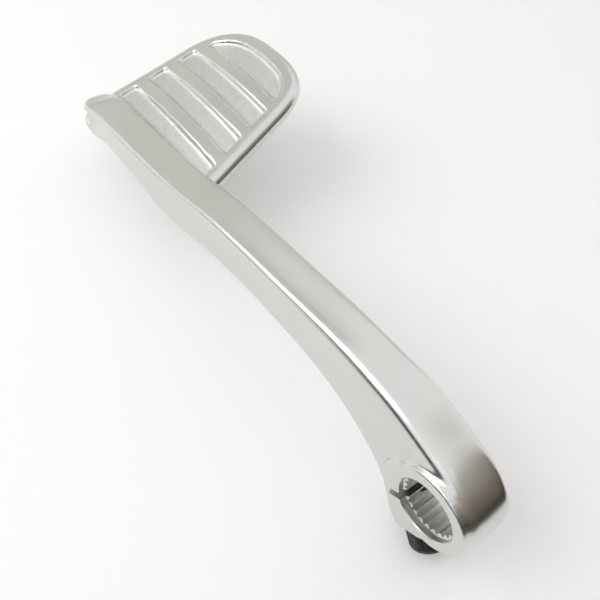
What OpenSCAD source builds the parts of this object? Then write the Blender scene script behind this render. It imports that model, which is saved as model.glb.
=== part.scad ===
// Kick start lever of a scooter: one polished casting with a split, splined hub,
// a rounded arm and a ribbed foot pedal, and the socket screw that clamps the hub.
// X runs from the bore's centre to the lever's tip, Y out of the hub towards the engine,
// Z towards the front of the arm. The origin is the middle of the bore.

/* [Arm] */
// Distance from the bore's centre to the lever's tip
lever_l = 200; // [185:1:215]
// Width of the arm, along the bore's axis
arm_w = 15; // [13:0.5:17]
// Height of the arm's front face where it bends into the hub
bend_z = 21.4; // [20:0.2:23]
// Depth of the arm at its middle, from front face to back
arm_d = 16.3; // [14:0.5:18]
// Depth of the belly in front of the pedal
belly_d = 16.8; // [15:0.5:18]
// Depth of the arm behind the pedal
neck_d = 9.6; // [8:0.4:11]
// Height of the front face at the tip, measured from the bore's centre
tip_z = -1.6; // [-5:0.5:2]
// Radius of the arm's front edges
front_edge_r = 2.2; // [1:0.2:2.6]
// Radius of the arm's back edges
back_edge_r = 1.4; // [0.8:0.2:2]
// Crown of the arm's faces across its width
crown = 0.4; // [0.2:0.1:0.8]

/* [Hub] */
// Radius of the bore over the tips of its teeth
tooth_tip_r = 8.7; // [8:0.1:9.2]
// Depth of the spaces between the teeth
tooth_h = 0.85; // [0.6:0.05:1.1]
// Number of teeth
teeth = 24; // [18:1:30]
// Radius of the plain mouth on the engine side
mouth_r = 9.75; // [9.7:0.05:10.5]
// Depth of the plain mouth
mouth_d = 1.9; // [1:0.1:3]
// Radius of the hub's body
hub_r = 14.6; // [14.2:0.2:16]
// Outer radius of the raised collar on the engine side
collar_r = 13.7; // [12.8:0.1:14]
// Height of the collar above the arm's side
collar_h = 2; // [1.2:0.2:3]
// Height of the boss on the outer side
boss_h = 1.4; // [0.8:0.2:2.4]
// Rounding of the collar's and the boss's edges
rim_r = 0.7; // [0.4:0.1:1]

/* [Clamp] */
// Width of the clamp slot
slot_w = 2.4; // [1.6:0.2:3]
// Angle of the slot below the arm's axis
slot_a = 36; // [32:1:40]
// Length of the jaw, from the slot's middle to the screw's seat
jaw_l = 16.2; // [15:0.2:18]
// Radius of the screw's shank
screw_r = 4; // [3.5:0.1:4.2]
// Length of the shank under the head
screw_l = 30; // [26:1:34]
// Radius of the screw's head
head_r = 6.5; // [6:0.1:6.8]
// Height of the screw's head
head_h = 8; // [6:0.5:9]
// Width across the flats of the screw's socket
socket_af = 6; // [5:0.5:7]
// Depth of the screw's socket
socket_d = 4; // [3:0.5:5]
// Clearance round the shank in the jaw
jaw_clear = 0.4; // [0.2:0.05:0.6]
// Clearance round the shank in the arm
thread_clear = 0.05; // [0.03:0.01:0.1]
// Clearance between the shank and the bore
bore_clear = 0.2; // [0.1:0.05:0.4]

/* [Pedal] */
// Reach of the pedal from the arm's engine side
pedal_reach = 84; // [76:1:92]
// Width of the pedal where it leaves the arm
pedal_w = 66; // [60:1:72]
// Distance of the pedal's outer corner from the tip, along the arm
pedal_inset = 3; // [0:1:8]
// Lean of the pedal towards the tip
pedal_lean = 13; // [10:1:16]
// Radius of the pedal's curved tread
tread_r = 150; // [130:5:180]
// Thickness of the pedal
pedal_t = 6; // [5:0.5:7]
// Rounding of the pedal's rim
pedal_edge_r = 2.4; // [1.6:0.2:2.8]
// Depth of the grooves in the tread
groove_d = 1.8; // [1.2:0.2:2.4]
// Width of one groove
groove_w = 10; // [8:0.5:11]
// Distance from one groove to the next
groove_pitch = 18; // [16.5:0.5:19]
// Margin between the grooves and the pedal's rim
groove_margin = 5; // [4:0.5:7]

/* [Hidden] */
loop_pitch = 5;
edge_steps = 2;
crown_steps = 1;
rim_steps = 2;
tread_rings = 3;
round_fn = 96;
arc_step = 5;
over = 1;

hub_len = collar_h + arm_w + boss_h;
face_y = hub_len / 2;
side_y = face_y - collar_h;
far_y = side_y - arm_w;
root_r = tooth_tip_r + tooth_h;

// Heights of the arm's front and back at places along it
slope = (bend_z - tip_z) / lever_l;
pedal_mid = lever_l - pedal_inset - pedal_w / 2;
mid_x = lever_l * 0.4;
belly_x = lever_l * 0.69;
neck_x = lever_l * 0.89;
mid_z = bend_z - 3.9;
belly_z = bend_z - 14.4;
neck_z = bend_z - 21.4;

// The screw runs past the bore, square to the slot
screw_axis_x = tooth_tip_r + screw_r + bore_clear;
jaw_x0 = screw_axis_x - head_r - 0.3;
jaw_x1 = screw_axis_x + head_r + 0.3;

// A point given along the slot and up the screw, turned into the arm's frame
function clamp_pt(along, up) = [along * cos(slot_a) + up * sin(slot_a), up * cos(slot_a) - along * sin(slot_a)];
function on_hub(a) = [hub_r * cos(a), hub_r * sin(a)];

// The arm's side outline, from the tip over the front, round the hub and back along the belly
outline_knots = [
    [lever_l - 1.2, tip_z - 1.6],
    [lever_l - 4, tip_z + 0.2],
    [neck_x, neck_z + 0.6],
    [belly_x, belly_z],
    [lever_l * 0.55, mid_z - 4.2],
    [mid_x, mid_z],
    [lever_l * 0.27, bend_z - 1.6],
    [lever_l * 0.17, bend_z + 0.1],
    [lever_l * 0.11, bend_z - 0.6],
    [hub_r * 0.55, bend_z - 3.4],
    [-hub_r * 0.1, hub_r + 1],
    on_hub(120),
    on_hub(145),
    on_hub(170),
    on_hub(195),
    on_hub(218),
    clamp_pt(jaw_x0 - 2.5, -jaw_l + 3.2),
    clamp_pt(jaw_x0, -jaw_l - 0.6),
    clamp_pt(screw_axis_x, -jaw_l - 1.4),
    clamp_pt(jaw_x1 - 1.4, -jaw_l - 0.8),
    clamp_pt(jaw_x1 + 0.9, -jaw_l + 3.4),
    clamp_pt(jaw_x1 + 0.4, -slot_w - 2),
    clamp_pt(jaw_x1 + 1.2, slot_w + 1.6),
    [lever_l * 0.155, bend_z - arm_d - 7.2],
    [lever_l * 0.24, bend_z - arm_d - 4.4],
    [mid_x * 0.95, mid_z - arm_d + 0.3],
    [lever_l * 0.52, mid_z - arm_d - 3.2],
    [lever_l * 0.6, belly_z - belly_d + 4.6],
    [belly_x, belly_z - belly_d],
    [lever_l * 0.77, belly_z - belly_d + 0.6],
    [neck_x - 10, neck_z - neck_d + 0.7],
    [neck_x, neck_z - neck_d],
    [lever_l - 9, tip_z - 10.6],
    [lever_l - 2.8, tip_z - 10.4],
    [lever_l, tip_z - 6]
];

// A smooth curve through the knots: the direction at each one comes from its two neighbours
function heading(a, b, c) = let (d0 = norm(b - a), d1 = norm(c - b))
    ((b - a) * d1 / d0 + (c - b) * d0 / d1) / (d0 + d1);
function between(p, q, hp, hq, t) = let (d = norm(q - p))
    p * (1 + 2 * t) * pow(1 - t, 2) + hp * d * t * pow(1 - t, 2)
    + q * t * t * (3 - 2 * t) - hq * d * t * t * (1 - t);
function steps_for(d) = max(2, round(d / loop_pitch));
function piece(a, b, c, d) = let (n = steps_for(norm(c - b)))
    [for (s = [0 : n - 1]) between(b, c, heading(a, b, c), heading(b, c, d), s / n)];
function smooth_loop(k) = let (n = len(k))
    [for (i = [0 : n - 1]) each piece(k[(i + n - 1) % n], k[i], k[(i + 1) % n], k[(i + 2) % n])];
// Unit normals of a closed anticlockwise curve, pointing inwards
function inward(p) = let (n = len(p)) [
    for (i = [0 : n - 1]) let (t = p[(i + 1) % n] - p[(i + n - 1) % n]) [-t[1], t[0]] / norm(t)
];

arm_loop = smooth_loop(outline_knots);
arm_normals = inward(arm_loop);
// The front edges are rounder than the back edges
function edge_r(i) = arm_normals[i][1] < 0 ? front_edge_r : back_edge_r;
// Share of the edge's rounding across the width, as [inset, distance from the side]
function edge_at(k) = [1 - sin(90 * k / edge_steps), 1 - cos(90 * k / edge_steps)];
arm_levels = concat(
    [for (k = [0 : edge_steps]) [edge_at(k)[0], edge_at(k)[1], 0]],
    [for (k = [1 : crown_steps]) [0, 1, k / (crown_steps + 1)]],
    [for (k = [edge_steps : -1 : 0]) [edge_at(k)[0], edge_at(k)[1], 1]]
);
// One point of the arm's skin: the outline pulled in by the edge rounding and by the crown
function arm_y(level, r) = side_y - (level[2] == 1 ? arm_w - r * level[1]
    : r * level[1] + level[2] * (arm_w - 2 * r));
function arm_point(i, level) = let (
    r = edge_r(i),
    y = arm_y(level, r),
    off = 2 * (y - side_y + arm_w / 2) / arm_w,
    in = r * level[0] + crown * off * off,
    p = arm_loop[i] + in * arm_normals[i]
) [p[0], y, p[1]];

// Triangles that fill a closed anticlockwise curve, cut off one convex corner at a time
function turn(a, b, c) = (b[0] - a[0]) * (c[1] - a[1]) - (b[1] - a[1]) * (c[0] - a[0]);
function covers(a, b, c, p) = turn(a, b, p) >= 0 && turn(b, c, p) >= 0 && turn(c, a, p) >= 0;
function corner(rest, k) = let (n = len(rest)) [rest[(k + n - 1) % n], rest[k], rest[(k + 1) % n]];
function is_free(p, rest, t) = turn(p[t[0]], p[t[1]], p[t[2]]) > 0 && len([
    for (j = rest) if (j != t[0] && j != t[1] && j != t[2] && covers(p[t[0]], p[t[1]], p[t[2]], p[j])) j
]) == 0;
function free_corner(p, rest, k = 0) =
    k == len(rest) || is_free(p, rest, corner(rest, k)) ? k : free_corner(p, rest, k + 1);
function fill(p, rest, done = []) = len(rest) < 3 ? done : let (k = free_corner(p, rest)) fill(
    p, [for (j = [0 : len(rest) - 1]) if (j != k) rest[j]], concat(done, [corner(rest, k)])
);

// Walls of a skin of rings with n points each
function walls(n, rings) = [
    for (j = [0 : rings - 2]) for (i = [0 : n - 1]) let (a = j * n + i, b = j * n + (i + 1) % n)
        each [[a, b + n, b], [a, a + n, b + n]]
];
function flipped(faces, shift) = [for (f = faces) [f[2] + shift, f[1] + shift, f[0] + shift]];

module arm_body() {
    n = len(arm_loop);
    rings = len(arm_levels);
    points = [for (level = arm_levels) for (i = [0 : n - 1]) arm_point(i, level)];
    side = fill([for (i = [0 : n - 1]) [points[i][0], points[i][2]]], [for (i = [0 : n - 1]) i]);
    polyhedron(points = points, faces = concat(side, walls(n, rings), flipped(side, (rings - 1) * n)));
}

// A disc about the bore's axis from y0 to y1, with a rounded edge at y1
module rimmed_disc(r, y0, y1) {
    h = abs(y1 - y0);
    profile = concat(
        [[0, 0], [r, 0]],
        [for (a = [0 : 90 / rim_steps : 90]) [r - rim_r + rim_r * cos(a), h - rim_r + rim_r * sin(a)]],
        [[0, h]]
    );
    translate([0, y0, 0])
        rotate([y1 > y0 ? -90 : 90, 0, 0])
            rotate_extrude($fn = round_fn)
                polygon(profile);
}

// The tread is part of a large cylinder along Y, with its axis below the pedal
tread_x = pedal_mid;
tread_top = belly_z + (neck_z - belly_z) * (tread_x - belly_x) / (neck_x - belly_x) + 0.9;
tread_tilt = 8;
tread_cx = tread_x - tread_r * sin(tread_tilt);
tread_cz = tread_top - tread_r * cos(tread_tilt) + 1;
function tread_z(x, r) = tread_cz + sqrt(r * r - pow(x - tread_cx, 2));

// The pedal's plan outline, leaning towards the tip, with a round outer end
pedal_root_y = far_y + front_edge_r + 1;
function reach_y(share) = face_y - pedal_reach * share;
function lean(y) = (pedal_root_y - y) * tan(pedal_lean);
pedal_tip_x = lever_l - pedal_inset;
pedal_low_x = pedal_tip_x - pedal_w;
pedal_knots = [
    [pedal_tip_x, pedal_root_y],
    [pedal_tip_x + lean(reach_y(0.35)) * 0.8, reach_y(0.35)],
    [pedal_tip_x + lean(reach_y(0.65)) * 0.7, reach_y(0.65)],
    [pedal_tip_x + lean(reach_y(0.84)) * 0.4, reach_y(0.84)],
    [pedal_tip_x - pedal_w * 0.12, reach_y(0.97)],
    [pedal_tip_x - pedal_w * 0.32, reach_y(1)],
    [pedal_tip_x - pedal_w * 0.5, reach_y(0.955)],
    [pedal_low_x + lean(reach_y(0.86)) * 1.15, reach_y(0.86)],
    [pedal_low_x + lean(reach_y(0.76)), reach_y(0.76)],
    [pedal_low_x + lean(reach_y(0.5)), reach_y(0.5)],
    [pedal_low_x + 0.4, pedal_root_y - 4],
    [pedal_low_x - 1, pedal_root_y]
];
pedal_last = len(pedal_knots) - 1;
function pedal_knot(i) = i < 0 ? 2 * pedal_knots[0] - pedal_knots[1]
    : i > pedal_last ? 2 * pedal_knots[pedal_last] - pedal_knots[pedal_last - 1] : pedal_knots[i];
pedal_ring = concat(
    [for (i = [0 : pedal_last - 1])
        each piece(pedal_knot(i - 1), pedal_knot(i), pedal_knot(i + 1), pedal_knot(i + 2))],
    [pedal_knots[pedal_last]]
);
pedal_centre = [pedal_mid + lean(reach_y(0.5)) * 0.5, reach_y(0.5)];
function toward(p, c, d) = p + (c - p) / norm(c - p) * d;
function pedal_ring_at(inset, share) = [for (p = pedal_ring)
    let (q = toward(p, pedal_centre, inset)) q + (pedal_centre - q) * share];
// Rings of the pedal's skin from the middle of the tread, over the rim, to the middle underneath
pedal_rings = concat(
    [for (k = [tread_rings - 1 : -1 : 1]) [pedal_edge_r, k / tread_rings, 0]],
    [for (k = [0 : rim_steps]) [pedal_edge_r * (1 - sin(90 * k / rim_steps)), 0, pedal_edge_r * (1 - cos(90 * k / rim_steps))]],
    [for (k = [rim_steps : -1 : 0]) [pedal_edge_r * (1 - sin(90 * k / rim_steps)), 0, pedal_t - pedal_edge_r * (1 - cos(90 * k / rim_steps))]],
    [for (k = [1 : tread_rings - 1]) [pedal_edge_r, k / tread_rings, pedal_t]]
);
function pedal_points(ring) = [for (p = pedal_ring_at(ring[0], ring[1]))
    [p[0], p[1], tread_z(p[0], tread_r) - ring[2]]];
function fan(n, first, centre, up) = [for (i = [0 : n - 1])
    up ? [centre, first + i, first + (i + 1) % n] : [centre, first + (i + 1) % n, first + i]];

module pedal_body() {
    n = len(pedal_ring);
    rings = len(pedal_rings);
    c = pedal_centre;
    points = concat(
        [for (ring = pedal_rings) each pedal_points(ring)],
        [[c[0], c[1], tread_z(c[0], tread_r)], [c[0], c[1], tread_z(c[0], tread_r) - pedal_t]]
    );
    polyhedron(
        points = points,
        faces = concat(walls(n, rings), fan(n, 0, rings * n, true), fan(n, (rings - 1) * n, rings * n + 1, false))
    );
}

// Everything above the floor of the grooves
module above_floor() {
    difference() {
        translate([pedal_low_x - pedal_w, reach_y(1) - groove_w, tread_cz])
            cube([pedal_w * 3, pedal_reach * 2, tread_r + groove_w]);
        translate([tread_cx, reach_y(2), tread_cz])
            rotate([-90, 0, 0])
                cylinder(r = tread_r - groove_d, h = pedal_reach * 4, $fn = 180);
    }
}

// One groove's plan: straight sides along the arm and ends that follow the pedal's lean
module groove_plan(y1, y0) {
    x_tip = pedal_tip_x - groove_margin;
    x_low = pedal_low_x + groove_margin;
    polygon([
        [x_tip + lean(y1) * 0.75, y1],
        [x_tip + lean(y0) * 0.75, y0],
        [x_low + lean(y0), y0],
        [x_low + lean(y1), y1]
    ]);
}

module grooves() {
    first = far_y;
    intersection() {
        above_floor();
        union() {
            for (k = [0 : 2])
                translate([0, 0, tread_cz])
                    linear_extrude(tread_r + groove_w)
                        groove_plan(first - k * groove_pitch, first - k * groove_pitch - groove_w + (k == 0 ? 2 : 0));
        }
    }
}

module spline_spaces() {
    pitch = 360 / teeth;
    half = pitch * 0.36;
    for (i = [0 : teeth - 1])
        translate([0, face_y + over, 0])
            rotate([90, (i + 0.5) * pitch, 0])
                linear_extrude(hub_len + 2 * over)
                    polygon([
                        [(tooth_tip_r - 0.3) * cos(half), (tooth_tip_r - 0.3) * sin(half)],
                        [(tooth_tip_r - 0.3) * cos(half), -(tooth_tip_r - 0.3) * sin(half)],
                        [root_r, 0]
                    ]);
}

module along_screw() {
    rotate([0, slot_a, 0])
        translate([screw_axis_x, 0, 0])
            children();
}

module hub_cuts() {
    translate([0, face_y + over, 0])
        rotate([90, 0, 0])
            cylinder(r = tooth_tip_r, h = hub_len + 2 * over, $fn = round_fn);
    spline_spaces();
    translate([0, face_y + over, 0])
        rotate([90, 0, 0])
            cylinder(r = mouth_r, h = mouth_d + over, $fn = round_fn);
    rotate([0, slot_a, 0])
        translate([0, -face_y - over, -slot_w / 2])
            cube([hub_r * 2, hub_len + 2 * over, slot_w]);
    along_screw() {
        translate([0, 0, -jaw_l])
            cylinder(r = screw_r + jaw_clear, h = jaw_l, $fn = round_fn);
        cylinder(r = screw_r + thread_clear, h = screw_l - jaw_l + over, $fn = round_fn);
        translate([0, 0, -jaw_l - head_h])
            cylinder(r = head_r + 0.8, h = head_h, $fn = round_fn);
    }
}

module lever() {
    color([0.86, 0.86, 0.85])
        difference() {
            union() {
                arm_body();
                pedal_body();
                rimmed_disc(collar_r, 0, face_y);
                rimmed_disc(collar_r, 0, -face_y);
            }
            hub_cuts();
            grooves();
        }
}

module clamp_screw() {
    color([0.13, 0.13, 0.14])
        along_screw()
            difference() {
                union() {
                    translate([0, 0, -jaw_l - head_h])
                        cylinder(r1 = head_r - 0.5, r2 = head_r, h = 0.5, $fn = round_fn);
                    translate([0, 0, -jaw_l - head_h + 0.5])
                        cylinder(r = head_r, h = head_h - 0.5, $fn = round_fn);
                    translate([0, 0, -jaw_l - over])
                        cylinder(r = screw_r, h = screw_l + over - 0.6, $fn = round_fn);
                    translate([0, 0, screw_l - jaw_l - 0.6])
                        cylinder(r1 = screw_r, r2 = screw_r - 0.6, h = 0.6, $fn = round_fn);
                }
                translate([0, 0, -jaw_l - head_h - over])
                    cylinder(d = socket_af / cos(30), h = socket_d + over, $fn = 6);
            }
}

lever();
clamp_screw();
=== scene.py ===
"""Kick start lever: a polished casting with a ribbed pedal and a splined clamp hub."""
import math

import bmesh
import bpy
import numpy as np
from mathutils import Matrix, Vector

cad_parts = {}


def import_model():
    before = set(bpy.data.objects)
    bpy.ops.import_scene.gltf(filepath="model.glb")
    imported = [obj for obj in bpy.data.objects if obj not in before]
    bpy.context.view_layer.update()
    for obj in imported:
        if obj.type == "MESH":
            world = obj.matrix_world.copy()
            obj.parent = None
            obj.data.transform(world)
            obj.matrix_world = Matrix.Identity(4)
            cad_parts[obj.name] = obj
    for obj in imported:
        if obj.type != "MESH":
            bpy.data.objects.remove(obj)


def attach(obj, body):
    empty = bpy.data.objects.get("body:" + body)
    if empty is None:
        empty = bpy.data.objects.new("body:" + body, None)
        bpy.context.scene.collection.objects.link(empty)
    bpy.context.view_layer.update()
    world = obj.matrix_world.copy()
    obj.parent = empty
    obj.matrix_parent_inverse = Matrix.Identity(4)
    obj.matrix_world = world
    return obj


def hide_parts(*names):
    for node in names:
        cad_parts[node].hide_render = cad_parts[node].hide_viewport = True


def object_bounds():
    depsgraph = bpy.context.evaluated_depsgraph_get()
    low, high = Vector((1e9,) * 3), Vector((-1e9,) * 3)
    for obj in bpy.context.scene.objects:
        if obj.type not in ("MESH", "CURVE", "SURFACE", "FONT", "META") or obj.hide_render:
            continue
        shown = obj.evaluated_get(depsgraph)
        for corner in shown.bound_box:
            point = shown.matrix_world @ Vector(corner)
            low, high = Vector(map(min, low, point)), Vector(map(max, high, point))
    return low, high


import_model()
cad_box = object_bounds()

MM = 0.001

# The arm, in millimetres
LEVER_L = 203.7
ARM_W = 15.0
BEND_Z = 21.5
BEND_D = 23.3
MID_Z = 17.7
ARM_D = 16.3
TIP_Z = -0.9
TIP_D = 11.6
TIP_ROUND = 7.5
TIP_NARROWING = 0.8
FRONT_EDGE_R = 2.2
HUB_EDGE_R = 3.0
TIP_EDGE_R = 2.6
BACK_EDGE_R = 1.4
CROWN = 0.4

# Shares of the arm's length where its edge or side starts to change towards the hub or tip
HUB_EDGE_FROM = 0.35
TIP_EDGE_FROM = 0.85
FLARE_FROM = 0.2

# The hub
TOOTH_TIP_R = 8.7
TOOTH_H = 0.85
TEETH = 24
SPACE_SHARE = 0.36
MOUTH_R = 9.75
MOUTH_D = 1.9
MOUTH_BEVEL = 0.3
HUB_R = 14.6
COLLAR_R = 13.7
COLLAR_H = 2.0
PAD_R = 10.0
PAD_SHIFT = 6.7
FLARE_H = 1.4
RIM_R = 0.7
SLOT_W = 2.4
SLOT_A = math.radians(36.0)
JAW_L = 16.2
JAW_CORNER = 3.3
SEAT_STOCK = 1.2

# The screw and its clearances
SCREW_R = 4.0
SCREW_L = 30.0
SCREW_BEVEL = 0.6
THREAD_PITCH = 1.25
THREAD_D = 0.7
THREAD_START = 1.0
HEAD_R = 6.5
HEAD_H = 8.0
KNURLS = 72
KNURL_D = 0.34
SOCKET_AF = 6.0
SOCKET_D = 4.0
JAW_CLEAR = 0.4
THREAD_CLEAR = 0.05
BORE_CLEAR = 0.2
SEAT_CLEAR = 0.8

# The pedal and its grooves
PEDAL_REACH = 59.5
PEDAL_INSET = 0.3
PEDAL_W = 74.0
PEDAL_TAPER = math.radians(14.5)
PEDAL_CANT = math.radians(16.7)
PEDAL_ROUND = 0.43
TIP_SQUARE = 2.4
LOW_SQUARE = 3.8
TREAD_R = 158.0
CREST_Z = 3.0
CREST_X = 46.0
PEDAL_T = 6.4
RIM_H = 2.6
RIM_W = 3.6
GROOVE_D = 1.8
GROOVE_W = 8.1
GROOVE_PITCH = 14.4
GROOVE_START = 7.6
GROOVE_DRAFT = 0.2
GROOVE_CORNER = 1.3
GROOVE_MARGIN = 6.0
END_MARGIN = 7.0

# How far a cutter passes the surface that it cuts
OVER = 1.0

# Places along the arm: share of its length, height of the front, depth of the arm
STATIONS = [
    (0.162, BEND_Z, BEND_D),
    (0.382, MID_Z, ARM_D),
    (0.525, 13.9, ARM_D),
    (0.676, 7.0, 16.8),
    (0.784, 4.2, 13.3),
    (0.873, 2.3, 11.9),
    (0.966, TIP_Z, TIP_D),
]

FACE_Y = (COLLAR_H + ARM_W + FLARE_H) / 2
SIDE_Y = FACE_Y - COLLAR_H
FAR_Y = SIDE_Y - ARM_W
MID_Y = SIDE_Y - ARM_W / 2
NOSE_Z = TIP_Z - TIP_D / 2
SCREW_X = TOOTH_TIP_R + SCREW_R + BORE_CLEAR
SHANK_END = SCREW_L - JAW_L
JAW_IN, JAW_OUT = SCREW_X - HEAD_R, SCREW_X + HEAD_R

# Fineness of the dressed mesh, in millimetres and steps
LOOP_PITCH = 1.0
EDGE_STEPS = 10
ROWS = 12
ARC_STEPS = 8
DISC_STEPS = 128
MOUTH_STEPS = 192
HOLE_STEPS = 96
SHANK_STEPS = 72
BEVEL_STEPS = 48
GROOVE_ROWS = 25
GROOVE_COLUMNS = 65
KNURL_STEPS = 6
THREAD_STEP = 0.16
VOXEL = 0.57
SMOOTH_PASSES = 11
CREASE = math.radians(38)

# Looks: lowest and highest tone or roughness, and the shares of red, green and blue in a tone
POLISHED_TONE = (0.68, 0.71)
POLISHED_ROUGHNESS = (0.23, 0.27)
CAST_TONE = (0.62, 0.78)
CAST_ROUGHNESS = (0.38, 0.55)
WARM, NEUTRAL = (0.992, 1.0, 0.965), (1.0, 1.0, 1.0)
STEEL_TONE = (0.05, 0.12)
STEEL_ROUGHNESS = (0.25, 0.4)
MATT = 0.9

# Noise: its scale for each use, and the part of its range that is spread out
CLOUDS, POLISHING, FINE_MARKS, GRAIN = 45, 260, 420, 2000
STEEL_TONES, STEEL_MARKS = 500, 900
MIDDLE = (0.3, 0.7)
GRAIN_MIDDLE = (0.35, 0.65)

# Stage, in millimetres: the floor lies below the part and the mats just above the floor
FLOOR_GAP = 0.5
FLOOR_HALF = 2500.0
FLOOR_LIFT = 0.08
MAT_LIFT = 0.4
MAT_REACH = 880.0
SCRIM_Z = 900.0
SCREEN_R = 900

# Lamp, in metres and watts, and the world's white where it lights
KEY_PLACE, KEY_AIM = (0.45, 0.7, 0.75), (0.1, 0, 0)
KEY_SIZE, KEY_POWER = (0.9, 0.7), 4.6
SOFT_LIGHT = 0.92

# Camera, in millimetres, placed so that the part lies as in the photo
CAMERA_PLACE = (-23.2, 87.3 + FACE_Y, 174.4)
CAMERA_AHEAD = (0.434, -0.456, -0.777)
CAMERA_DOWN = (-0.670, 0.413, -0.617)
LENS, SENSOR, CLIP_START = 42.0, 36.0, 0.01


# Curves
def ease(a, b, x):
    """Share of the way from a to b at x, eased at both ends."""
    s = np.clip((x - a) / (b - a), 0, 1)
    return s * s * (3 - 2 * s)


def clamp_pt(along, up):
    """A point given along the slot and up the screw, in the arm's plane."""
    c, s = math.cos(SLOT_A), math.sin(SLOT_A)
    return (along * c + up * s, up * c - along * s)


def on_hub(degrees):
    """A point on the hub's round outside."""
    a = math.radians(degrees)
    return (HUB_R * math.cos(a), HUB_R * math.sin(a))


def outline_knots():
    """The arm's side outline: over the front, round the hub, along the back, round the nose."""
    front = [(share * LEVER_L, z) for share, z, _ in reversed(STATIONS)]
    back = [(share * LEVER_L, z - depth) for share, z, depth in STATIONS]
    brow = [
        (HUB_R * 1.5, BEND_Z * 0.97),
        (HUB_R * 0.56, (BEND_Z + HUB_R) / 2),
        (-HUB_R * 0.1, HUB_R * 1.07),
    ]
    hub = [on_hub(a) for a in (120, 145, 170, 195, 218)]
    jaw = [
        clamp_pt(JAW_IN - JAW_CORNER * 0.85, JAW_CORNER - JAW_L),
        clamp_pt(JAW_IN, -JAW_L - SEAT_STOCK * 0.5),
        clamp_pt(SCREW_X, -JAW_L - SEAT_STOCK),
        clamp_pt(JAW_OUT - JAW_CORNER * 0.33, -JAW_L - SEAT_STOCK * 0.6),
        clamp_pt(JAW_OUT + JAW_CORNER * 0.36, JAW_CORNER - JAW_L),
        clamp_pt(JAW_OUT + JAW_CORNER * 0.21, -SLOT_W * 1.8),
        clamp_pt(JAW_OUT + JAW_CORNER * 0.45, SLOT_W * 1.7),
    ]
    nose = [
        (LEVER_L - 0.6, NOSE_Z - TIP_D * 0.25),
        (LEVER_L, NOSE_Z),
        (LEVER_L - 0.8, NOSE_Z + TIP_D * 0.25),
    ]
    return front + brow + hub + jaw + back + nose


def heading(a, b, c):
    """Direction of a smooth curve at b, from its neighbours a and c."""
    d0, d1 = np.linalg.norm(b - a), np.linalg.norm(c - b)
    return ((b - a) * d1 / d0 + (c - b) * d0 / d1) / (d0 + d1)


def piece(a, b, c, d, pitch):
    """Points of the smooth curve from b up to c."""
    length = np.linalg.norm(c - b)
    n = max(2, round(length / pitch))
    hb, hc = heading(a, b, c), heading(b, c, d)
    t = (np.arange(n) / n)[:, None]
    return (b * (1 + 2 * t) * (1 - t) ** 2 + hb * length * t * (1 - t) ** 2
            + c * t * t * (3 - 2 * t) - hc * length * t * t * (1 - t))


def smooth_loop(knots, pitch):
    """Points of a closed smooth curve through the knots."""
    k = np.array(knots, float)
    n = len(k)
    return np.vstack([piece(k[i - 1], k[i], k[(i + 1) % n], k[(i + 2) % n], pitch) for i in range(n)])


def inward(p):
    """Unit normals of a closed loop, towards its inside."""
    t = np.roll(p, -1, axis=0) - np.roll(p, 1, axis=0)
    t /= np.linalg.norm(t, axis=1)[:, None]
    return np.c_[-t[:, 1], t[:, 0]]


# Mesh helpers
def fix_normals(obj):
    """Turns every face outwards."""
    bm = bmesh.new()
    bm.from_mesh(obj.data)
    bmesh.ops.recalc_face_normals(bm, faces=bm.faces)
    bm.to_mesh(obj.data)
    bm.free()


def mesh_object(name, points, faces):
    """A mesh in the scene, from points in millimetres."""
    mesh = bpy.data.meshes.new(name)
    mesh.from_pydata([tuple(p) for p in np.asarray(points) * MM], [], faces)
    mesh.validate()
    mesh.update()
    obj = bpy.data.objects.new(name, mesh)
    bpy.context.scene.collection.objects.link(obj)
    fix_normals(obj)
    return obj


def ring_faces(n, rings):
    """Quads between closed rings of n points, and a flat face at each end."""
    faces = [[j * n + i, (j + 1) * n + i, (j + 1) * n + (i + 1) % n, j * n + (i + 1) % n]
             for j in range(rings - 1) for i in range(n)]
    return faces + [list(range(n)), [(rings - 1) * n + i for i in reversed(range(n))]]


def turned(name, profile, steps=DISC_STEPS, centre=(0.0, 0.0)):
    """A solid of revolution about Y from (radius, y) pairs."""
    a = np.arange(steps) * 2 * math.pi / steps
    points = [(centre[0] + r * math.cos(t), y, centre[1] + r * math.sin(t)) for r, y in profile for t in a]
    return mesh_object(name, points, ring_faces(steps, len(profile)))


def prism(name, outline):
    """An outline in the XZ plane, drawn through the hub along Y."""
    points = [(x, y, z) for y in (-FACE_Y - OVER, FACE_Y + OVER) for x, z in outline]
    return mesh_object(name, points, ring_faces(len(outline), 2))


def apply_modifier(obj, kind, **values):
    """Replaces obj's mesh by what a modifier makes of it."""
    mod = obj.modifiers.new(kind, kind)
    for key, value in values.items():
        setattr(mod, key, value)
    depsgraph = bpy.context.evaluated_depsgraph_get()
    mesh = bpy.data.meshes.new_from_object(obj.evaluated_get(depsgraph))
    obj.modifiers.clear()
    old = obj.data
    obj.data = mesh
    bpy.data.meshes.remove(old)


def combine(obj, other, operation):
    """Joins other to obj or cuts it away, and removes it."""
    bpy.context.view_layer.update()
    apply_modifier(obj, "BOOLEAN", object=other, operation=operation, solver="MANIFOLD")
    bpy.data.objects.remove(other)


def in_screw_frame(points):
    """From (along the slot, along Y, up the screw) to the part's frame."""
    p = np.asarray(points, float)
    c, s = math.cos(SLOT_A), math.sin(SLOT_A)
    return np.c_[p[:, 0] * c + p[:, 2] * s, p[:, 1], p[:, 2] * c - p[:, 0] * s]


# The casting
def quarter(steps):
    """Angles from 0 to a quarter turn."""
    return [math.pi / 2 * k / steps for k in range(steps + 1)]


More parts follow.
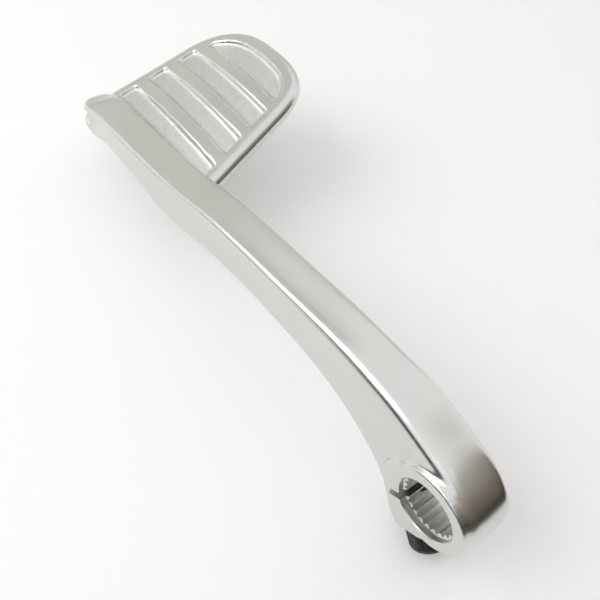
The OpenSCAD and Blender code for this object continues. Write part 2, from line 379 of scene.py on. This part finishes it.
def edge_radii(x, normals):
    """Radius of the arm's near and far edge at each point of its outline."""
    front = np.clip(0.5 - 1.2 * normals[:, 1] + np.maximum(normals[:, 0], 0), 0, 1)
    by_hub = ease(LEVER_L * HUB_EDGE_FROM, HUB_R, x) * ease(-HUB_R * 0.5, HUB_R * 0.5, x)
    by_tip = ease(LEVER_L * TIP_EDGE_FROM, LEVER_L, x)
    front_r = FRONT_EDGE_R + (TIP_EDGE_R - FRONT_EDGE_R) * by_tip
    near_front_r = front_r + (HUB_EDGE_R - FRONT_EDGE_R) * by_hub
    near_r = BACK_EDGE_R + (near_front_r - BACK_EDGE_R) * front
    far_r = BACK_EDGE_R + (front_r - BACK_EDGE_R) * front
    return near_r, far_r


def arm_sides(x):
    """Y of the arm's near and far side, which close in at the tip and flare at the hub."""
    past = np.maximum(0, x - LEVER_L + TIP_ROUND) / TIP_ROUND
    half = ARM_W / 2 * np.sqrt(1 - TIP_NARROWING * past * past)
    return MID_Y + half, MID_Y - half - FLARE_H * ease(LEVER_L * FLARE_FROM, HUB_R, x)


def arm_skin():
    """The arm with its hub and jaw, as rings of its outline from the near to the far side."""
    loop = smooth_loop(outline_knots(), LOOP_PITCH)
    normals = inward(loop)
    x = loop[:, 0]
    near_r, far_r = edge_radii(x, normals)
    near_side, far_side = arm_sides(x)
    rings = [(near_r * (1 - math.sin(a)), near_side - near_r * (1 - math.cos(a)))
             for a in quarter(EDGE_STEPS)]
    for k in range(1, ROWS):
        rings.append((0 * x, near_side - near_r + (far_side + far_r - near_side + near_r) * k / ROWS))
    rings += [(far_r * (1 - math.sin(a)), far_side + far_r * (1 - math.cos(a)))
              for a in reversed(quarter(EDGE_STEPS))]
    points = []
    for inset, y in rings:
        off = np.minimum(1, (2 * (y - MID_Y) / ARM_W) ** 2)
        pulled = loop + (inset + CROWN * off)[:, None] * normals
        points.append(np.c_[pulled[:, 0], y, pulled[:, 1]])
    return mesh_object("lever_casting", np.vstack(points), ring_faces(len(loop), len(rings)))


def rimmed_disc(name, r, centre=(0.0, 0.0)):
    """A disc square to the bore, from the hub's middle to its face, with a rounded edge."""
    arc = [(r - RIM_R + RIM_R * math.cos(a), FACE_Y - RIM_R + RIM_R * math.sin(a))
           for a in quarter(ARC_STEPS)]
    return turned(name, [(r, 0)] + arc, centre=centre)


# The pedal, in a frame of its own: its root on the arm's far side, canted about X
TREAD_CX = LEVER_L - CREST_X
TREAD_CZ = CREST_Z * math.cos(PEDAL_CANT) - TREAD_R
ROUND_Y = -PEDAL_REACH * (1 - PEDAL_ROUND)


def out_of_pedal_frame(points):
    """From the pedal's frame to the part's."""
    p = np.asarray(points, float)
    c, s = math.cos(PEDAL_CANT), math.sin(PEDAL_CANT)
    return np.c_[p[:, 0], FAR_Y + p[:, 1] * c + p[:, 2] * s, p[:, 2] * c - p[:, 1] * s]


def into_pedal_frame(points):
    """From the part's frame to the pedal's."""
    p = np.asarray(points, float)
    c, s = math.cos(PEDAL_CANT), math.sin(PEDAL_CANT)
    y = p[:, 1] - FAR_Y
    return np.c_[p[:, 0], y * c - p[:, 2] * s, y * s + p[:, 2] * c]


def tread_z(x, r):
    """Height of the curved tread, or of a surface below it at a smaller radius."""
    return TREAD_CZ + np.sqrt(r * r - (x - TREAD_CX) ** 2)


def half_width(y):
    """Half the pedal's width, which narrows outwards."""
    return (PEDAL_W + (y - RIM_W) * math.tan(PEDAL_TAPER)) / 2


def across(u, y, margin):
    """X at share u of the half width, from -1 on the hub's side to 1 at the tip."""
    return LEVER_L - PEDAL_INSET - half_width(y) + u * (half_width(y) - margin)


def pedal_ring():
    """The pedal's outline, from the arm at the tip round its end and back on the hub's side."""
    side = np.linspace(RIM_W, ROUND_Y, 40, endpoint=False)
    a = np.radians(np.linspace(0, 180, 181))
    square = np.where(a < math.pi / 2, TIP_SQUARE, LOW_SQUARE)
    u = np.sign(np.cos(a)) * np.abs(np.cos(a)) ** (2 / square)
    y = ROUND_Y - PEDAL_REACH * PEDAL_ROUND * np.abs(np.sin(a)) ** (2 / square)
    root = across(np.linspace(-1, 1, 60)[:-1], RIM_W, 0)
    return np.vstack([
        np.c_[across(1, side, 0), side],
        np.c_[across(u, y, 0), y],
        np.c_[across(-1, side[:0:-1], 0), side[:0:-1]],
        np.c_[root, np.full(len(root), RIM_W)],
    ])


def pedal_skin():
    """The pedal before its grooves are cut, with rounded edges above and below."""
    ring = pedal_ring()
    middle = (RIM_W - PEDAL_REACH) / 2
    centre = np.array((across(0, middle, 0), middle))
    to_centre = centre - ring
    to_centre /= np.linalg.norm(to_centre, axis=1)[:, None]
    rows = [(RIM_W, k / ROWS, 0.0) for k in range(ROWS - 1, 0, -1)]
    rows += [(RIM_W * (1 - math.sin(a)), 0.0, RIM_H * (1 - math.cos(a))) for a in quarter(EDGE_STEPS)]
    rows += [(RIM_H * (1 - math.sin(a)), 0.0, PEDAL_T - RIM_H * (1 - math.cos(a)))
             for a in reversed(quarter(EDGE_STEPS))]
    rows += [(RIM_H, k / ROWS, PEDAL_T) for k in range(1, ROWS)]
    points = []
    for inset, share, down in rows:
        q = ring + to_centre * inset
        q = q + (centre - q) * share
        points.append(np.c_[q, tread_z(q[:, 0], TREAD_R) - down])
    top = tread_z(centre[0], TREAD_R)
    points.append(np.array([(*centre, top), (*centre, top - PEDAL_T)]))
    n, last = len(ring), (len(rows) - 1) * len(ring)
    faces = ring_faces(n, len(rows))[:-2]
    faces += [[last + n, (i + 1) % n, i] for i in range(n)]
    faces += [[last + n + 1, last + i, last + (i + 1) % n] for i in range(n)]
    return mesh_object("pedal_skin", out_of_pedal_frame(np.vstack(points)), faces)


def groove_side(y, side, square):
    """Where a groove ends across the pedal, inside the margins."""
    deep = PEDAL_REACH * PEDAL_ROUND - END_MARGIN
    sine = np.clip((ROUND_Y - y) / deep, 0, 1) ** (square / 2)
    u = np.sqrt(1 - sine * sine) ** (2 / square)
    return across(side * u, y, GROOVE_MARGIN)


def grooves():
    """Ends of each groove's width, from the arm's side outwards."""
    walls = [(0.0, -GROOVE_START)]
    for k in (1, 2):
        wall = -GROOVE_START - k * GROOVE_PITCH
        walls.append((wall + GROOVE_W, wall))
    end = ROUND_Y - PEDAL_REACH * PEDAL_ROUND + END_MARGIN + 0.02
    return walls + [(-GROOVE_START - 3 * GROOVE_PITCH + GROOVE_W, end)]


def groove_cutter(y0, y1):
    """What is cut away above one groove's curved floor."""
    y = y0 + (y1 - y0) * (1 - np.cos(np.linspace(0, math.pi, GROOVE_ROWS))) / 2
    near_end = np.clip(1 - np.minimum(y0 - y, y - y1) / GROOVE_CORNER, 0, 1)
    inset = GROOVE_CORNER * (1 - np.sqrt(1 - near_end * near_end))
    low, high = groove_side(y, -1, LOW_SQUARE), groove_side(y, 1, TIP_SQUARE)
    inset = np.minimum(inset, (high - low) * 0.4)
    low, high = low + inset, high - inset
    t = np.linspace(0, 1, GROOVE_COLUMNS)
    x = low[:, None] + (high - low)[:, None] * t
    flat = np.c_[x.ravel(), np.repeat(y, len(t))]
    floor_z = tread_z(flat[:, 0], TREAD_R - GROOVE_D)
    wider = GROOVE_W * GROOVE_DRAFT
    out_x = np.tile(2 * t - 1, len(y)) * wider
    out_y = np.repeat(2 * (y - y1) / (y0 - y1) - 1, len(t)) * wider
    points = np.vstack([np.c_[flat, floor_z], np.c_[flat + np.c_[out_x, out_y], floor_z + GROOVE_W]])
    rows, cols = x.shape
    return mesh_object("groove", out_of_pedal_frame(points), block_faces(rows, cols))


def block_faces(rows, cols):
    """Faces of a block with a grid of points below and the same grid above."""
    def quads(base, flip):
        out = []
        for j in range(rows - 1):
            for i in range(cols - 1):
                a = base + j * cols + i
                quad = [a, a + 1, a + cols + 1, a + cols]
                out.append(quad[::-1] if flip else quad)
        return out
    edge = list(range(cols)) + [j * cols + cols - 1 for j in range(1, rows)]
    edge += [(rows - 1) * cols + i for i in range(cols - 2, -1, -1)]
    edge += [j * cols for j in range(rows - 2, 0, -1)]
    up = rows * cols
    sides = [[a, b, b + up, a + up] for a, b in zip(edge, edge[1:] + edge[:1])]
    return quads(0, True) + quads(up, False) + sides


def casting():
    """The arm, the grooved pedal, the collar and the pad as one body with sharp joins."""
    pedal = pedal_skin()
    for y0, y1 in grooves():
        combine(pedal, groove_cutter(y0, y1), "DIFFERENCE")
    body = arm_skin()
    combine(body, pedal, "UNION")
    combine(body, rimmed_disc("collar", COLLAR_R), "UNION")
    turn = SLOT_A / 4
    pad = (PAD_SHIFT * math.cos(turn), -PAD_SHIFT * math.sin(turn))
    combine(body, rimmed_disc("pad", PAD_R, pad), "UNION")
    return body


def soften(body):
    """Rounds every edge of the casting a little, as casting and polishing leave it."""
    apply_modifier(body, "REMESH", mode="VOXEL", voxel_size=VOXEL * MM, use_smooth_shade=True)
    apply_modifier(body, "SMOOTH", factor=0.5, iterations=SMOOTH_PASSES)


def spline_outline():
    """The bore with the spaces between its teeth."""
    pitch = 2 * math.pi / TEETH
    half = pitch * SPACE_SHARE
    points = []
    for i in range(TEETH):
        middle = (i + 0.5) * pitch
        points.append((TOOTH_TIP_R + TOOTH_H, middle))
        points += [(TOOTH_TIP_R, middle + half + (pitch - 2 * half) * k / 4) for k in range(5)]
    return [(r * math.cos(a), -r * math.sin(a)) for r, a in points]


def machine(body):
    """The splined bore, the slot and the screw's holes."""
    combine(body, prism("bore", spline_outline()), "DIFFERENCE")
    mouth = [(MOUTH_R + MOUTH_BEVEL + OVER, FACE_Y + OVER), (MOUTH_R, FACE_Y - MOUTH_BEVEL),
             (MOUTH_R, FACE_Y - MOUTH_D), (TOOTH_TIP_R, FACE_Y - MOUTH_D - TOOTH_H * 0.6)]
    combine(body, turned("mouth", mouth, MOUTH_STEPS), "DIFFERENCE")
    slot = [(0, -SLOT_W / 2), (HUB_R * 2, -SLOT_W / 2), (HUB_R * 2, SLOT_W / 2), (0, SLOT_W / 2)]
    combine(body, prism("slot", [clamp_pt(a, u) for a, u in slot]), "DIFFERENCE")
    for name, r, u0, u1 in [
        ("jaw_hole", SCREW_R + JAW_CLEAR, -JAW_L, 0),
        ("tapped_hole", SCREW_R + THREAD_CLEAR, -OVER, SHANK_END + OVER),
        ("seat", HEAD_R + SEAT_CLEAR, -JAW_L - HEAD_H, -JAW_L),
    ]:
        combine(body, screw_rings(name, [(u0, r), (u1, r)], HOLE_STEPS), "DIFFERENCE")


# The screw
def screw_rings(name, rings, steps, shape=None):
    """Rings about the screw's axis from (height, radius) pairs; shape changes the radius."""
    a = np.arange(steps) * 2 * math.pi / steps
    points = []
    for u, r in rings:
        radius = r * np.ones(steps) if shape is None else shape(u, r, a)
        points.append(np.c_[SCREW_X + radius * np.cos(a), radius * np.sin(a), np.full(steps, float(u))])
    return mesh_object(name, in_screw_frame(np.vstack(points)), ring_faces(steps, len(rings)))


def knurled(u, r, a):
    """The head's radius, knurled between its bevels."""
    low, high = -JAW_L - HEAD_H + SCREW_BEVEL * 2, -JAW_L - SCREW_BEVEL
    share = ease(low - 0.5, low + 0.2, u) * (1 - ease(high - 0.2, high + 0.4, u))
    return r - KNURL_D * share * (0.5 - 0.5 * np.cos(KNURLS * a))


def threaded(u, r, a):
    """The shank's radius, threaded from below the head."""
    turn = (u / THREAD_PITCH - a / (2 * math.pi)) % 1
    share = ease(-JAW_L + THREAD_START, -JAW_L + 3 * THREAD_START, u)
    return r - THREAD_D * share * np.clip(1.15 - np.abs(2 * turn - 1) * 1.3, 0, 1)


def screw():
    """The cap screw: knurled head, threaded shank and bevelled hexagon socket."""
    low = -JAW_L - HEAD_H
    rings = [(low, HEAD_R - SCREW_BEVEL), (low + SCREW_BEVEL * 0.5, HEAD_R - SCREW_BEVEL * 0.15),
             (low + SCREW_BEVEL, HEAD_R)]
    rings += [(u, HEAD_R) for u in np.linspace(low + SCREW_BEVEL * 1.3, -JAW_L - 0.15, 24)]
    rings.append((-JAW_L, HEAD_R - 0.15))
    body = screw_rings("clamp_screw_detail", rings, KNURLS * KNURL_STEPS, knurled)
    last = SHANK_END - SCREW_BEVEL
    shank = [(u, SCREW_R) for u in np.arange(-JAW_L - OVER, last, THREAD_STEP)]
    shank += [(last, SCREW_R), (SHANK_END, SCREW_R - SCREW_BEVEL)]
    combine(body, screw_rings("shank", shank, SHANK_STEPS, threaded), "UNION")
    hex_r = SOCKET_AF / 2 / math.cos(math.pi / 6)
    combine(body, screw_rings("socket", [(low - OVER, hex_r), (low + SOCKET_D, hex_r)], 6), "DIFFERENCE")
    cone = [(low - OVER, hex_r + OVER + 0.1), (low + 0.5, hex_r - 0.4)]
    combine(body, screw_rings("socket_bevel", cone, BEVEL_STEPS), "DIFFERENCE")
    return body


# Materials
def node_material(name):
    """A new material with its node tree and shader."""
    mat = bpy.data.materials.new(name)
    mat.use_nodes = True
    tree = mat.node_tree
    return mat, tree, tree.nodes["Principled BSDF"]


def add(tree, kind, **values):
    """Adds a node with the given settings."""
    node = tree.nodes.new(kind)
    for key, value in values.items():
        setattr(node, key, value)
    return node


def noise(tree, vector, scale, detail):
    node = add(tree, "ShaderNodeTexNoise")
    node.inputs["Scale"].default_value = scale
    node.inputs["Detail"].default_value = detail
    tree.links.new(vector, node.inputs["Vector"])
    return node.outputs["Fac"]


def spread(tree, value, low, high, start=0.0, stop=1.0):
    """Maps value from the range start to stop onto the range low to high."""
    node = add(tree, "ShaderNodeMapRange")
    node.inputs["From Min"].default_value = start
    node.inputs["From Max"].default_value = stop
    node.inputs["To Min"].default_value = low
    node.inputs["To Max"].default_value = high
    tree.links.new(value, node.inputs["Value"])
    return node.outputs["Result"]


def blend(tree, factor, a, b):
    """Value a where factor is 0 and b where it is 1."""
    node = add(tree, "ShaderNodeMix")
    for socket, value in (("Factor", factor), ("A", a), ("B", b)):
        tree.links.new(value, node.inputs[socket])
    return node.outputs["Result"]


def tinted(tree, tone, shares):
    """The colour with the given shares of a tone in red, green and blue."""
    colour = add(tree, "ShaderNodeCombineColor")
    for channel, share in zip(("Red", "Green", "Blue"), shares):
        part = add(tree, "ShaderNodeMath", operation="MULTIPLY")
        part.inputs[1].default_value = share
        tree.links.new(tone, part.inputs[0])
        tree.links.new(part.outputs[0], colour.inputs[channel])
    return colour.outputs["Color"]


def bump(tree, height, strength, distance, normal=None):
    """Fine relief as a normal, on top of another where one is given."""
    node = add(tree, "ShaderNodeBump")
    node.inputs["Distance"].default_value = distance
    if isinstance(strength, float):
        node.inputs["Strength"].default_value = strength
    else:
        tree.links.new(strength, node.inputs["Strength"])
    tree.links.new(height, node.inputs["Height"])
    if normal is not None:
        tree.links.new(normal, node.inputs["Normal"])
    return node.outputs["Normal"]


def polished_aluminium():
    """Polished metal with faint clouds, and rough grey skin where as_cast is 1."""
    mat, tree, shader = node_material("polished_aluminium")
    place = add(tree, "ShaderNodeTexCoord").outputs["Object"]
    cast = add(tree, "ShaderNodeAttribute", attribute_name="as_cast").outputs["Fac"]
    shader.inputs["Metallic"].default_value = 1.0
    clouds, grain = noise(tree, place, CLOUDS, 3), noise(tree, place, GRAIN, 3)
    polished_tone = spread(tree, clouds, *POLISHED_TONE, *MIDDLE)
    tone = blend(tree, cast, polished_tone, spread(tree, grain, *CAST_TONE, *GRAIN_MIDDLE))
    tree.links.new(tinted(tree, tone, WARM), shader.inputs["Base Color"])
    polish = spread(tree, noise(tree, place, POLISHING, 4), *POLISHED_ROUGHNESS, *MIDDLE)
    roughness = blend(tree, cast, polish, spread(tree, grain, *CAST_ROUGHNESS))
    tree.links.new(roughness, shader.inputs["Roughness"])
    fine = bump(tree, noise(tree, place, FINE_MARKS, 3), 0.03, 0.0004)
    rough = bump(tree, grain, spread(tree, cast, 0.0, 0.2), 0.0005, fine)
    tree.links.new(rough, shader.inputs["Normal"])
    return mat


def black_steel():
    mat, tree, shader = node_material("black_steel")
    place = add(tree, "ShaderNodeTexCoord").outputs["Object"]
    shader.inputs["Metallic"].default_value = 0.8
    tone = spread(tree, noise(tree, place, STEEL_TONES, 4), *STEEL_TONE, *MIDDLE)
    tree.links.new(tinted(tree, tone, NEUTRAL), shader.inputs["Base Color"])
    roughness = spread(tree, noise(tree, place, STEEL_MARKS, 3), *STEEL_ROUGHNESS)
    tree.links.new(roughness, shader.inputs["Roughness"])
    return mat


def mark_as_cast(body):
    """Marks the floors of the grooves, which keep the casting's rough skin."""
    mesh = body.data
    flat = np.empty(len(mesh.vertices) * 3, np.float32)
    mesh.vertices.foreach_get("co", flat)
    p = into_pedal_frame(flat.reshape(-1, 3) / MM)
    x, y, z = p[:, 0], p[:, 1], p[:, 2]
    deep = tread_z(np.clip(x, TREAD_CX - PEDAL_W, TREAD_CX + PEDAL_W), TREAD_R) - z
    mask = np.zeros(len(p))
    for y0, y1 in grooves():
        low, high = groove_side(y, -1, LOW_SQUARE), groove_side(y, 1, TIP_SQUARE)
        inside = (y < y0 - 0.5) & (y > y1 + 0.2) & (x > low - 0.2) & (x < high + 0.2)
        mask[inside & (deep > GROOVE_D * 0.75) & (deep < GROOVE_D + 1)] = 1
    mesh.attributes.new("as_cast", "FLOAT", "POINT").data.foreach_set("value", mask.astype(np.float32))


def dress(obj, mat):
    """Gives obj its material, smooth shading and sharp creases."""
    obj.data.materials.clear()
    obj.data.materials.append(mat)
    obj.data.polygons.foreach_set("use_smooth", [True] * len(obj.data.polygons))
    obj.data.set_sharp_from_angle(angle=CREASE)


# Stage, lights and camera
def panel(name, corners, colour):
    """A flat panel of the stage; the camera sees only the floor."""
    obj = mesh_object(name, corners, [[0, 1, 2, 3]])
    mat, tree, shader = node_material(name + "_paint")
    shader.inputs["Base Color"].default_value = (*colour, 1)
    shader.inputs["Roughness"].default_value = MATT
    dress(obj, mat)
    obj.visible_camera = name == "floor"
    return tree, shader


def seen_directly(tree):
    """1 for what the camera sees, straight or through a mirror or glass, and 0 for soft light."""
    paths = add(tree, "ShaderNodeLightPath")
    seen = paths.outputs["Is Camera Ray"]
    for name in ("Is Transmission Ray", "Is Glossy Ray"):
        either = add(tree, "ShaderNodeMath", operation="MAXIMUM")
        tree.links.new(seen, either.inputs[0])
        tree.links.new(paths.outputs[name], either.inputs[1])
        seen = either.outputs[0]
    return seen


def level(x0, x1, y0, y1, z):
    """Corners of a level rectangle."""
    return [(x0, y0, z), (x1, y0, z), (x1, y1, z), (x0, y1, z)]


def floor(z):
    """White floor, lifted a little where it is seen and not where it lights."""
    corners = level(-FLOOR_HALF, FLOOR_HALF, -FLOOR_HALF, FLOOR_HALF, z)
    tree, shader = panel("floor", corners, (0.92, 0.92, 0.92))
    shader.inputs["Emission Color"].default_value = (1, 1, 1, 1)
    lift = spread(tree, seen_directly(tree), 0, FLOOR_LIFT)
    tree.links.new(lift, shader.inputs["Emission Strength"])


def mats(z):
    """Dark mats beside the part, for the metal to reflect."""
    dark, near, end = (0.03, 0.028, 0.025), 130.0, 150.0
    panel("mat_near", level(-MAT_REACH, end, near, MAT_REACH, z), dark)
    panel("mat_end", level(-MAT_REACH, -near, -MAT_REACH, near, z), dark)


def scrim():
    """A pale panel overhead, which evens out what the tread reflects."""
    panel("scrim", level(480.0, 1500.0, -500.0, 500.0, SCRIM_Z), (0.86, 0.86, 0.84))


def screen(name, away, turn, bands, steps=32):
    """An upright curved screen round the bore: turn in degrees, bands as (elevation, colour)."""
    a = np.radians(np.linspace(*turn, steps))
    points, tones = [], []
    for elevation, colour in bands:
        z = away * math.tan(math.radians(elevation))
        points.append(np.c_[away * np.cos(a), away * np.sin(a), np.full(steps, z)])
        tones += [(*colour, 1.0)] * steps
    faces = [[j * steps + i, j * steps + i + 1, (j + 1) * steps + i + 1, (j + 1) * steps + i]
             for j in range(len(bands) - 1) for i in range(steps - 1)]
    obj = mesh_object(name, np.vstack(points), faces)
    tone = obj.data.attributes.new("tone", "FLOAT_COLOR", "POINT")
    tone.data.foreach_set("color", np.array(tones, np.float32).ravel())
    mat, tree, shader = node_material(name + "_paint")
    shader.inputs["Roughness"].default_value = MATT
    source = add(tree, "ShaderNodeAttribute", attribute_name="tone")
    tree.links.new(source.outputs["Color"], shader.inputs["Base Color"])
    dress(obj, mat)
    obj.visible_camera = False


def screens():
    """Dark screens, which the polished metal shows as the dark lines and the brown end."""
    black, dim, grey = (0.02, 0.02, 0.02), (0.3, 0.3, 0.29), (0.6, 0.6, 0.57)
    soft, umber, brown = (0.97, 0.97, 0.94), (0.2, 0.165, 0.13), (0.28, 0.24, 0.195)
    sand, cream = (0.42, 0.385, 0.33), (0.8, 0.78, 0.73)
    screen("screen_arm", SCREEN_R, (35, 58), [(-1.5, dim), (9, dim)])
    screen("screen_near", SCREEN_R, (58, 140), [(-1.5, black), (15, black)])
    screen("screen_end", SCREEN_R, (140, 250),
           [(-1.5, black), (4, black), (9, umber), (25, brown), (40, sand), (58, cream)])
    screen("screen_far", SCREEN_R, (285, 380), [(3, grey), (14, soft), (34, soft)])


def world():
    """A white world, a little dimmer where it lights than where it is seen."""
    scene = bpy.context.scene
    scene.world = bpy.data.worlds.new("studio")
    scene.world.use_nodes = True
    tree = scene.world.node_tree
    mix = add(tree, "ShaderNodeMix", data_type="RGBA")
    tree.links.new(seen_directly(tree), mix.inputs["Factor"])
    mix.inputs["A"].default_value = (SOFT_LIGHT, SOFT_LIGHT, SOFT_LIGHT, 1)
    mix.inputs["B"].default_value = (1, 1, 1, 1)
    tree.links.new(mix.outputs["Result"], tree.nodes["Background"].inputs["Color"])


def area_light(name, place, aim, size, power):
    light = bpy.data.lights.new(name, "AREA")
    light.shape = "RECTANGLE"
    light.size, light.size_y = size
    light.energy = power
    obj = bpy.data.objects.new(name, light)
    place, aim = Vector(place), Vector(aim)
    turn = (aim - place).to_track_quat("-Z", "Y").to_matrix().to_4x4()
    obj.matrix_world = Matrix.Translation(place) @ turn
    bpy.context.scene.collection.objects.link(obj)


def lights():
    area_light("key", KEY_PLACE, KEY_AIM, KEY_SIZE, KEY_POWER)


def camera():
    data = bpy.data.cameras.new("camera")
    data.lens = LENS
    data.sensor_width = SENSOR
    data.clip_start = CLIP_START
    obj = bpy.data.objects.new("camera", data)
    back = -Vector(CAMERA_AHEAD).normalized()
    up = -Vector(CAMERA_DOWN)
    up = (up - back * up.dot(back)).normalized()
    turn = Matrix((up.cross(back), up, back)).transposed().to_4x4()
    obj.matrix_world = Matrix.Translation(Vector(CAMERA_PLACE) * MM) @ turn
    bpy.context.scene.collection.objects.link(obj)
    bpy.context.scene.camera = obj


def keep(obj, node, mat):
    """Dresses a piece, attaches it to the root body and hides the solid it stands for."""
    dress(obj, mat)
    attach(obj, "root")
    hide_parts(node)


def stage():
    floor_z = cad_box[0][2] / MM - FLOOR_GAP
    floor(floor_z)
    mats(floor_z + MAT_LIFT)
    scrim()
    screens()
    world()
    lights()


def main():
    bpy.context.scene.view_settings.view_transform = "Standard"
    camera()
    body = casting()
    soften(body)
    machine(body)
    mark_as_cast(body)
    keep(body, "lever", polished_aluminium())
    keep(screw(), "clamp_screw", black_steel())
    stage()


main()
